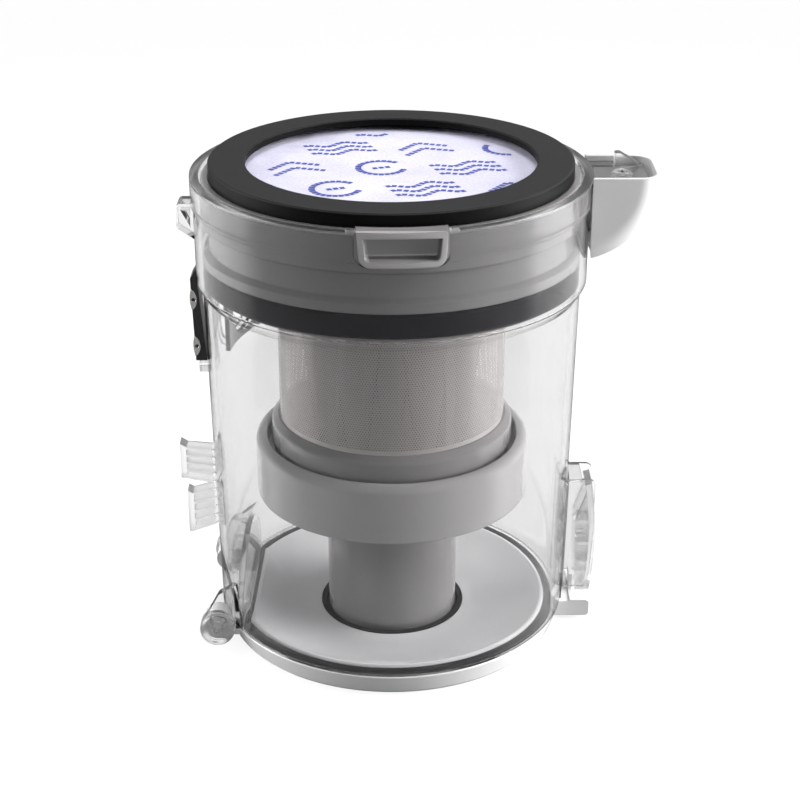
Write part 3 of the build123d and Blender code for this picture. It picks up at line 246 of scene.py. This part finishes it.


# %% [markdown]
# The core is one mid grey. The skirt takes a lighter copy of it, painted light for the light it catches,
# and the collar its own finish with a painted lighter frame. Lid and hook cover are pale. The rail is black
# plastic, the filter's ring a matt black rubber with a painted sheen on top, and the band round the collar
# a dark rubber with next to no sheen. The thin seal of the lid is glossier, as it is pressed and wiped each
# time the lid shuts.

# %% Plastics and rubbers
grey_plastic = moulded("grey_plastic", (0.150, 0.145, 0.144), 0.24, specular=0.8, coat=0.6)
# The collar's finger frame gets painted light.
collar_grey = moulded("collar_grey", (0.147, 0.143, 0.142), 0.245, edge=0.8, specular=0.7, coat=0.4,
                      paint_frame_light=True)
# Painted light: the skirt is the same grey, drawn lighter.
skirt_grey_painted_light = moulded("skirt_grey_painted_light", (0.248, 0.243, 0.241), 0.245, edge=0.6, specular=0.9, coat=0.6)
lid_plastic = moulded("lid_plastic", (0.53, 0.53, 0.535), 0.12)
hook_plastic = moulded("hook_plastic", (0.47, 0.465, 0.467), 0.305)
black_plastic = moulded("black_plastic", (0.008, 0.008, 0.009), 0.40, specular=0.4)
# The filter's black rubber gets a painted sheen on faces that look up.
black_rubber = moulded("black_rubber", (0.002, 0.002, 0.002), 0.5, grain=0.08, specular=0.05, top_sheen=0.017)
dark_rubber = moulded("dark_rubber", (0.004, 0.003, 0.006), 0.45, grain=0.0, specular=0.04)
seal_rubber = moulded("seal_rubber", (0.010, 0.010, 0.011), 0.16, grain=0.0, specular=0.9)
print("opaque finishes", len(bpy.data.materials))

# %% [markdown]
# The cup is clear polycarbonate about two millimetres thick. It bends light at both skins, so it is a real
# solid with transmission and not an alpha film. Lamps would only reach the core as slow caustics, so shadow
# rays pass straight through a faintly grey transparent shader, which is the usual way to light things
# behind glass. The small mouldings low on the sides, clips, hinge and latch, and the lip are left less
# polished in the tool: object coordinates find them, and they get more roughness.

# %% Clear plastic
clear_bend = 1.49
clear_edge = 0.35 * mm
wave_scale = 26.0
wave_detail = 1.0
wave_strength = 0.06
wave_deep = 0.4 * mm
shadow_tone = (0.82, 0.82, 0.825)
frost_out = 57.6 * mm
frost_top = 66.0 * mm
frost_rough = 0.3
latch_frost = 0.5
lip_z = 149.6 * mm


def frosted(tree, place):
    """Share of frost: low on both sides, less on the latch's side, and the lip."""
    x, _, z = split(tree, place)
    left = maths(tree, "LESS_THAN", x, -frost_out)
    right = maths(tree, "GREATER_THAN", x, frost_out)
    sides = maths(tree, "MULTIPLY_ADD", right, latch_frost, left)
    low = maths(tree, "LESS_THAN", z, frost_top)
    lip = maths(tree, "GREATER_THAN", z, lip_z)
    return maths(tree, "MAXIMUM", maths(tree, "MULTIPLY", sides, low), lip)


def clear(name, tone, rough):
    """Glossy clear moulding that lets lamp light through."""
    finish, tree = blank(name)
    place = add(tree, "TexCoord").outputs["Object"]
    wave = noise(tree, place, wave_scale, wave_detail)
    normal = bumped(tree, wave, wave_strength, wave_deep, soft_edges(tree, clear_edge))
    gloss = maths(tree, "MULTIPLY_ADD", frosted(tree, place), frost_rough, rough)
    glass = add(tree, "BsdfPrincipled", IOR=clear_bend, Transmission_Weight=1.0)
    glass.inputs["Base Color"].default_value = (*tone, 1)
    join(tree, gloss, glass.inputs["Roughness"])
    join(tree, normal, glass.inputs["Normal"])
    through = add(tree, "BsdfTransparent")
    through.inputs["Color"].default_value = (*shadow_tone, 1)
    shadow = add(tree, "LightPath").outputs["Is Shadow Ray"]
    join(tree, layer(tree, shadow, glass.outputs[0], through.outputs[0]), output(tree))
    return finish


clear_plastic = clear("clear_plastic", (0.835, 0.831, 0.833), 0.015)
print("clear finish", clear_plastic.name)

# %% [markdown]
# Screws and pins are plated steel, the contacts a brighter sprung strip, the screen a dull stainless sheet.
# Metal shows its making in the gloss: noise stretched along one axis gives the drawn lines of the strip.
# The screen's dull skin and the edges of its holes scatter the light, so it is only partly metallic.

# %% Metals
line_scale = 900.0
line_detail = 3.0
metal_edge = 0.2 * mm


def metal(name, colour, rough, stretch, lined=0.2, bare=1.0):
    """Metal with drawn lines, bare or dulled."""
    finish, tree = blank(name)
    turn = add(tree, "Mapping")
    turn.inputs["Scale"].default_value = stretch
    join(tree, add(tree, "TexCoord").outputs["Object"], turn.inputs["Vector"])
    lines = noise(tree, turn.outputs[0], line_scale, line_detail)
    gloss = maths(tree, "MULTIPLY_ADD", lines, lined, rough - lined / 2)
    body = add(tree, "BsdfPrincipled", Metallic=bare)
    body.inputs["Base Color"].default_value = (*colour, 1)
    join(tree, gloss, body.inputs["Roughness"])
    join(tree, soft_edges(tree, metal_edge), body.inputs["Normal"])
    join(tree, body.outputs[0], output(tree))
    return finish


steel = metal("steel", (0.56, 0.56, 0.55), 0.3, (1, 1, 1))
contact_metal = metal("contact_metal", (0.74, 0.73, 0.70), 0.22, (0.1, 3, 0.1))
mesh_steel = metal("mesh_steel", (0.41, 0.389, 0.381), 0.21, (1, 1, 0.15), lined=0.02, bare=0.42)
print("metals", [finish.name for finish in (steel, contact_metal, mesh_steel)])

# %% [markdown]
# Filter paper and its cover sheet are felted fibres: matt, faintly mottled, with no highlight of their own.
# Fine noise makes the mottling and gives the fibres some height; slow noise bends the slack cover sheet and
# paints shade into its colour where it folds: painted shade.

# %% Paper
fibre_scale = 1100.0
fibre_detail = 4.0
fibre_strength = 0.25
fibre_deep = 0.05 * mm
fold_scale = 45.0
fold_detail = 2.0
fold_deep = 4.0 * mm
dark_fibre = 0.93
paper_rough = 0.85
paper_specular = 0.2


def fibre(name, colour, slack):
    """Matt mottled sheet, bent by its slack, with painted shade in its folds that deepens with slack."""
    finish, tree = blank(name)
    place = add(tree, "TexCoord").outputs["Object"]
    fine = noise(tree, place, fibre_scale, fibre_detail)
    fold = noise(tree, place, fold_scale, fold_detail)
    # Real fibre mottling, plus painted shade of the folds from the slow noise, weighted by slack.
    both = maths(tree, "MULTIPLY_ADD", fold, slack, maths(tree, "MULTIPLY", fine, 1 - slack))
    tone = blend(tree, both, [c * (dark_fibre - slack) for c in colour], colour)
    folds = bumped(tree, fold, slack, fold_deep)
    body = add(tree, "BsdfPrincipled", Roughness=paper_rough, Specular_IOR_Level=paper_specular)
    join(tree, tone, body.inputs["Base Color"])
    join(tree, bumped(tree, fine, fibre_strength, fibre_deep, folds), body.inputs["Normal"])
    join(tree, body.outputs[0], output(tree))
    return finish


filter_paper = fibre("filter_paper", (0.76, 0.75, 0.72), 0.0)
# The slack cover sheet gets painted shade in its folds.
filter_sheet = fibre("filter_sheet", (0.57, 0.56, 0.69), 0.5)
print("papers", [finish.name for finish in (filter_paper, filter_sheet)])

# %% [markdown]
# Each CAD node carries the name of a slot from the record, and takes the finish of that name. Three have
# their own: the collar has a painted lighter frame, the skirt is a lighter copy of the grey with painted
# light, and the lid's seal is glossier than the rest.

# %% Dress the CAD nodes
finishes = {
    "clear_plastic": clear_plastic,
    "hook_plastic": hook_plastic,
    "lid_plastic": lid_plastic,
    "grey_plastic": grey_plastic,
    "black_plastic": black_plastic,
    "black_rubber": black_rubber,
    "dark_rubber": dark_rubber,
    "steel": steel,
    "contact_metal": contact_metal,
    "mesh_steel": mesh_steel,
    "filter_sheet": filter_sheet,
    "filter_paper": filter_paper,
}
slots = {row["node"]: row["material_slot"] for row in frame["record"]["subparts"]}
own = {"cyclone_collar": collar_grey, "skirt": skirt_grey_painted_light, "lid_seal": seal_rubber}
for name, node in nodes.items():
    node.data.materials.clear()
    node.data.materials.append(own.get(name, finishes[slots[name]]))
print("dressed", len(slots))

# %% [markdown]
# The screen is a steel sleeve with thousands of holes under a millimetre apart. A boolean would be far too
# heavy, so the sheet is woven from cells: each cell is a hexagonal frame of six faces round one open hole.
# Alternate rows are shifted by half a pitch, as in real perforated sheet, and plain bands close both ends.

# %% Layout of the screen
screen_low, screen_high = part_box("mesh_screen")
screen_r = screen_high[0]
hole_pitch = 0.82 * mm
hole_share = 0.48
band = 1.2 * mm
around = round(2 * math.pi * screen_r / hole_pitch)
row_tall = hole_pitch * math.sqrt(3) / 2
rows = int((screen_high[2] - screen_low[2] - 2 * band) / row_tall)
first_z = (screen_low[2] + screen_high[2] - rows * row_tall) / 2 + row_tall / 2
last_z = first_z + (rows - 1) * row_tall


def on_sleeve(along, z):
    """Point of the sleeve at a distance along its round, in cells, and a height."""
    angle = 2 * math.pi * along / around
    return (screen_r * math.cos(angle), screen_r * math.sin(angle), z)


def piece(name, points, faces, finish, smooth=False):
    """Mesh object with one finish."""
    mesh = bpy.data.meshes.new(name)
    mesh.from_pydata(points, [], faces)
    mesh.polygons.foreach_set("use_smooth", [smooth] * len(mesh.polygons))
    mesh.materials.append(finish)
    made = bpy.data.objects.new(name, mesh)
    scene.collection.objects.link(made)
    return made


print("rows", rows, "holes in a row", around)

# %% [markdown]
# Every cell has an outer hexagon, shared in place with its neighbours, and a smaller one that is the hole's
# edge. The bands overlap the outermost rows a little, so that no slit is left between them.

# %% Perforated screen
band_lap = 0.45
points = []
faces = []
corners = [math.radians(30 + 60 * n) for n in range(6)]
reach = 1 / math.sqrt(3)
for row in range(rows):
    middle_z = first_z + row * row_tall
    for cell in range(around):
        along = cell + 0.5 * (row % 2)
        start = len(points)
        for size in (reach, reach * hole_share):
            for corner in corners:
                z = middle_z + size * hole_pitch * math.sin(corner)
                points.append(on_sleeve(along + size * math.cos(corner), z))
        for n in range(6):
            m = (n + 1) % 6
            faces.append((start + n, start + m, start + 6 + m, start + 6 + n))
low_band = (screen_low[2], first_z - row_tall * band_lap)
high_band = (last_z + row_tall * band_lap, screen_high[2])
for ends in (low_band, high_band):
    for cell in range(around):
        start = len(points)
        for z in ends:
            points.append(on_sleeve(cell, z))
            points.append(on_sleeve(cell + 1, z))
        faces.append((start, start + 1, start + 3, start + 2))
screen = piece("perforated_screen", points, faces, mesh_steel, smooth=True)
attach(screen, "cyclone")
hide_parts("mesh_screen")
print("holes", rows * around, "faces", len(faces))

# %% [markdown]
# The cover sheet of a spare filter is often marked in blue. Plain rings, waves and chevrons are used here.
# Each mark is a path in millimetres about its own middle, so that one function can turn and place them all.

# %% Marks of the cover sheet
ring_r = 7.0
ring_step = 0.25
bar_half = 3.0
wave_step = 1.7
wave_apart = 4.4
wave_high = 1.6
wave_turn = 0.9
chevron_half = 8.0
chevron_high = 6.0


def ring_mark():
    """Open ring with a short bar in it."""
    ring = [(ring_r * math.cos(n * ring_step), ring_r * math.sin(n * ring_step)) for n in range(2, 24)]
    return [ring, [(-bar_half, 0), (bar_half, 0)]]


def wave_mark():
    """Three waves one over another."""
    return [[(n * wave_step, row * wave_apart + wave_high * math.sin(n * wave_turn)) for n in range(-6, 7)]
            for row in (-1, 0, 1)]


def chevron_mark():
    """Two nested chevrons."""
    return [[(-chevron_half, low), (0.0, low + chevron_high), (chevron_half, low)]
            for low in (-chevron_high, 0.0)]


marks = (ring_mark, wave_mark, chevron_mark)
print("kinds of mark", len(marks))

# %% [markdown]
# Ink from a coarse roller comes out as short dashes. A curve with a bevel would give an unbroken line, so
# each path is cut into small flat quads instead, and all of them together are one thin mesh just over the
# sheet.

# %% Dashes of ink
ink_gap = 0.05 * mm
dash_long = 1.5 * mm
dash_wide = 1.9 * mm
dash_pitch = dash_long * 1.35
mark_turn = 0.35
mark_room = 41.0 * mm
mark_across = 26 * mm
mark_down = 21 * mm
mark_shift = (-3 * mm, 2 * mm)
sheet_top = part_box("filter_film")[1][2] + ink_gap


def dashes(path, middle, turn):
    """Short quads along a path, given in millimetres about a middle point."""
    quads = []
    spot = [Vector((middle[0] + mm * (x * math.cos(turn) - y * math.sin(turn)),
                    middle[1] + mm * (x * math.sin(turn) + y * math.cos(turn)))) for x, y in path]
    for start, stop in zip(spot, spot[1:]):
        run = stop - start
        count = max(1, round(run.length / dash_pitch))
        way = run.normalized()
        side = Vector((-way.y, way.x)) * dash_wide / 2
        half = way * min(dash_long, run.length) / 2
        for n in range(count):
            centre = start + run * (n + 0.5) / count
            back = centre - half
            fore = centre + half
            quads.append([back - side, fore - side, fore + side, back + side])
    return quads


points = []
faces = []
for row in range(-3, 4):
    for column in range(-3, 4):
        middle_x = mark_across * (column + 0.5 * (row % 2)) + mark_shift[0]
        middle_y = mark_down * row + mark_shift[1]
        for path in marks[(column + 2 * row) % 3]():
            for quad in dashes(path, (middle_x, middle_y), mark_turn):
                if max(corner.length for corner in quad) < mark_room:
                    faces.append([len(points) + n for n in range(4)])
                    points += [(*corner, sheet_top) for corner in quad]
print("dashes", len(faces))

# %% [markdown]
# The ink soaks in unevenly, so noise mixes a dark and a lighter blue, and it is nearly as matt as the
# sheet.

# %% Printed marks
blot_scale = 900.0
blot_detail = 3.0
ink_rough = 0.7
ink_dark = (0.010, 0.016, 0.15)
ink_light = (0.05, 0.075, 0.30)
ink, tree = blank("blue_ink")
blots = noise(tree, add(tree, "TexCoord").outputs["Object"], blot_scale, blot_detail)
body = add(tree, "BsdfPrincipled", Roughness=ink_rough)
join(tree, blend(tree, blots, ink_dark, ink_light), body.inputs["Base Color"])
join(tree, body.outputs[0], output(tree))
film_print = piece("film_print", points, faces, ink)
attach(film_print, "filter")
print("printed", film_print.name)

# %% [markdown]
# Both contacts are strips bent into a loop, and the rail's black plastic shows inside the loop. In the CAD
# the loop is open from side to side, so a short black peg is set into each, a little back from the strip's
# edges.

# %% Pegs in the contact loops
peg_r = 0.57 * mm
peg_in = 1.1 * mm
peg_back = 0.35 * mm
peg_sides = 24
springs = nodes["contact_springs"]
contacts = [springs.matrix_world @ vertex.co for vertex in springs.data.vertices]
halfway = (min(p.z for p in contacts) + max(p.z for p in contacts)) / 2
peg_half = max(p.y for p in contacts) - peg_back
points = []
faces = []
peg_heights = []
for group in ([p for p in contacts if p.z > halfway], [p for p in contacts if p.z < halfway]):
    x = min(p.x for p in group) + peg_in
    z = (min(p.z for p in group) + max(p.z for p in group)) / 2
    peg_heights.append(round(z / mm, 1))
    start = len(points)
    for end in (-peg_half, peg_half):
        for n in range(peg_sides):
            angle = 2 * math.pi * n / peg_sides
            points.append((x + peg_r * math.cos(angle), end, z + peg_r * math.sin(angle)))
    for n in range(peg_sides):
        m = (n + 1) % peg_sides
        faces.append((start + n, start + m, start + peg_sides + m, start + peg_sides + n))
    faces.append([start + n for n in reversed(range(peg_sides))])
    faces.append([start + peg_sides + n for n in range(peg_sides)])
pegs = piece("contact_pegs", points, faces, black_plastic)
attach(pegs, "cup")
print("pegs at heights in mm", peg_heights)

# %% [markdown]
# The photograph is a studio shot on white. The background should be white to the camera and through the
# clear wall, but it must not light the core like a lamp, nor lie as a veil on the wall in front. The Light
# Path node tells these rays apart: camera rays and rays that only passed the wall see white, rays mirrored
# in the wall see white only where they go on to the back, and rays that met the core first see the darker
# room.

# %% What shows the background
back_share = 0.8


def seen(tree, onward, start, full):
    """1 for rays that show the background, fading in from start to full for rays mirrored in the wall."""
    ray = add(tree, "LightPath")
    fade = add(tree, "MapRange", interpolation_type="SMOOTHSTEP", From_Min=start, From_Max=full,
               To_Max=back_share)
    join(tree, onward, fade.inputs["Value"])
    unmirrored = maths(tree, "LESS_THAN", ray.outputs["Glossy Depth"], 0.5)
    share = maths(tree, "MAXIMUM", unmirrored, fade.outputs[0])
    clean = maths(tree, "LESS_THAN", ray.outputs["Diffuse Depth"], 0.5)
    through = maths(tree, "MULTIPLY", ray.outputs["Is Transmission Ray"], clean)
    return maths(tree, "MAXIMUM", ray.outputs["Is Camera Ray"], maths(tree, "MULTIPLY", through, share))


print("share of white for mirrored rays", back_share)

# %% [markdown]
# The floor is white paper that keeps a faint shadow: near the bin a small share of it is lit paper, farther
# out it fades to plain white at a strength of 1. To the camera the plain part is clear and shows the white
# world behind, so that the lid can be seen when it hangs open below the level that the bin stands on.

# %% Floor
floor_wide = 6.0
floor_drop = 0.05 * mm
mirror_start = -0.09
mirror_full = 0.06
shadow_near = 0.3
shadow_far = 1.2
plain_near = 0.85
room_floor = 0.12
paper_lift = 0.78
paper, tree = blank("white_floor")
place = add(tree, "TexCoord").outputs["Object"]
bright = seen(tree, split(tree, place)[1], mirror_start, mirror_full)
away = add(tree, "VectorMath", operation="LENGTH")
join(tree, place, away.inputs[0])
far = add(tree, "MapRange", From_Min=shadow_near, From_Max=shadow_far, To_Min=plain_near, To_Max=1.0)
join(tree, away.outputs["Value"], far.inputs["Value"])
lit = add(tree, "BsdfDiffuse")
join(tree, maths(tree, "MULTIPLY_ADD", bright, paper_lift, room_floor), lit.inputs["Color"])
glow = add(tree, "Emission", Strength=1.0)
glow.inputs["Color"].default_value = (1, 1, 1, 1)
to_camera = add(tree, "LightPath").outputs["Is Camera Ray"]
plain = layer(tree, to_camera, glow.outputs[0], add(tree, "BsdfTransparent").outputs[0])
plain_share = maths(tree, "MULTIPLY", bright, far.outputs[0])
join(tree, layer(tree, plain_share, lit.outputs[0], plain), output(tree))
bpy.ops.mesh.primitive_plane_add(size=floor_wide, location=(0, 0, -floor_drop))
floor = bpy.context.object
floor.name = "floor"
floor.data.materials.append(paper)
print("floor in metres", floor_wide)

# %% [markdown]
# The world is white where the background shows and a dim grey room for all other rays, a little darker
# towards the camera's side, which is why the grey core is dark in front.

# %% World
room_level = 0.25
room_slope = 0.15
world_start = 0.1
world_full = 0.75
world = bpy.data.worlds.new("studio")
world.use_nodes = True
scene.world = world
tree = world.node_tree
tree.nodes.clear()
back = split(tree, add(tree, "TexCoord").outputs["Generated"])[1]
tone = add(tree, "CombineColor")
for slot in tone.inputs:
    join(tree, maths(tree, "MULTIPLY_ADD", back, room_slope, room_level), slot)
room = add(tree, "Background", Strength=1.0)
join(tree, tone.outputs[0], room.inputs["Color"])
white = add(tree, "Background", Strength=1.0)
white.inputs["Color"].default_value = (1, 1, 1, 1)
sky = layer(tree, seen(tree, back, world_start, world_full), room.outputs[0], white.outputs[0])
join(tree, sky, tree.nodes.new("ShaderNodeOutputWorld").inputs["Surface"])
print("world", world.name)

# %% [markdown]
# Two large soft boxes stand at the sides, the right one stronger, a weaker one above and a weak strip in
# front. Area lamps stand in for them, hidden from the camera and aimed at the bin's middle. A real box
# glows most in its middle and fades to its edges, so the glow is a curve over the lamp's face: in the
# glossy wall and the grey core it then shows as a soft streak and not as a pane with hard edges. The
# curve's mean is divided out again.

# %% Soft boxes
aim_point = Vector((0, 0, 80 * mm))
hump_mean = 2 / 3
hump_square_mean = 8 / 15
hump_even = 1 / (hump_square_mean * hump_mean)


def hump(tree, share):
    """Curve from 0 at both edges of a lamp to 1 in its middle."""
    rest = maths(tree, "SUBTRACT", 1.0, share)
    return maths(tree, "MULTIPLY", maths(tree, "MULTIPLY", share, rest), 4.0)


def soft_box(name, place, wide, tall, power):
    """Rectangular lamp aimed at the middle of the bin, sizes in metres and power in watts."""
    lamp = bpy.data.lights.new(name, "AREA")
    lamp.shape = "RECTANGLE"
    lamp.size = wide
    lamp.size_y = tall
    lamp.energy = power
    lamp.use_nodes = True
    tree = lamp.node_tree
    tree.nodes.clear()
    x, y, _ = split(tree, add(tree, "NewGeometry").outputs["Parametric"])
    across = maths(tree, "POWER", hump(tree, x), 2.0)
    glow = maths(tree, "MULTIPLY", across, hump(tree, y))
    light = add(tree, "Emission")
    join(tree, maths(tree, "MULTIPLY", glow, hump_even), light.inputs["Strength"])
    join(tree, light.outputs[0], tree.nodes.new("ShaderNodeOutputLight").inputs["Surface"])
    box = bpy.data.objects.new(name, lamp)
    scene.collection.objects.link(box)
    box.location = place
    box.rotation_euler = (aim_point - Vector(place)).to_track_quat("-Z", "Y").to_euler()
    box.visible_camera = False
    box.visible_transmission = False


soft_box("left_box", place=(-0.72, 0.06, 0.26), wide=0.8, tall=0.9, power=15.0)
soft_box("right_box", place=(0.70, -0.02, 0.26), wide=0.8, tall=0.9, power=26.0)
soft_box("front_box", place=(0.05, -1.10, 0.10), wide=1.2, tall=0.25, power=3.0)
soft_box("top_box", place=(0.10, 0.25, 0.95), wide=0.6, tall=0.5, power=6.0)
print("lamps", len(bpy.data.lights))
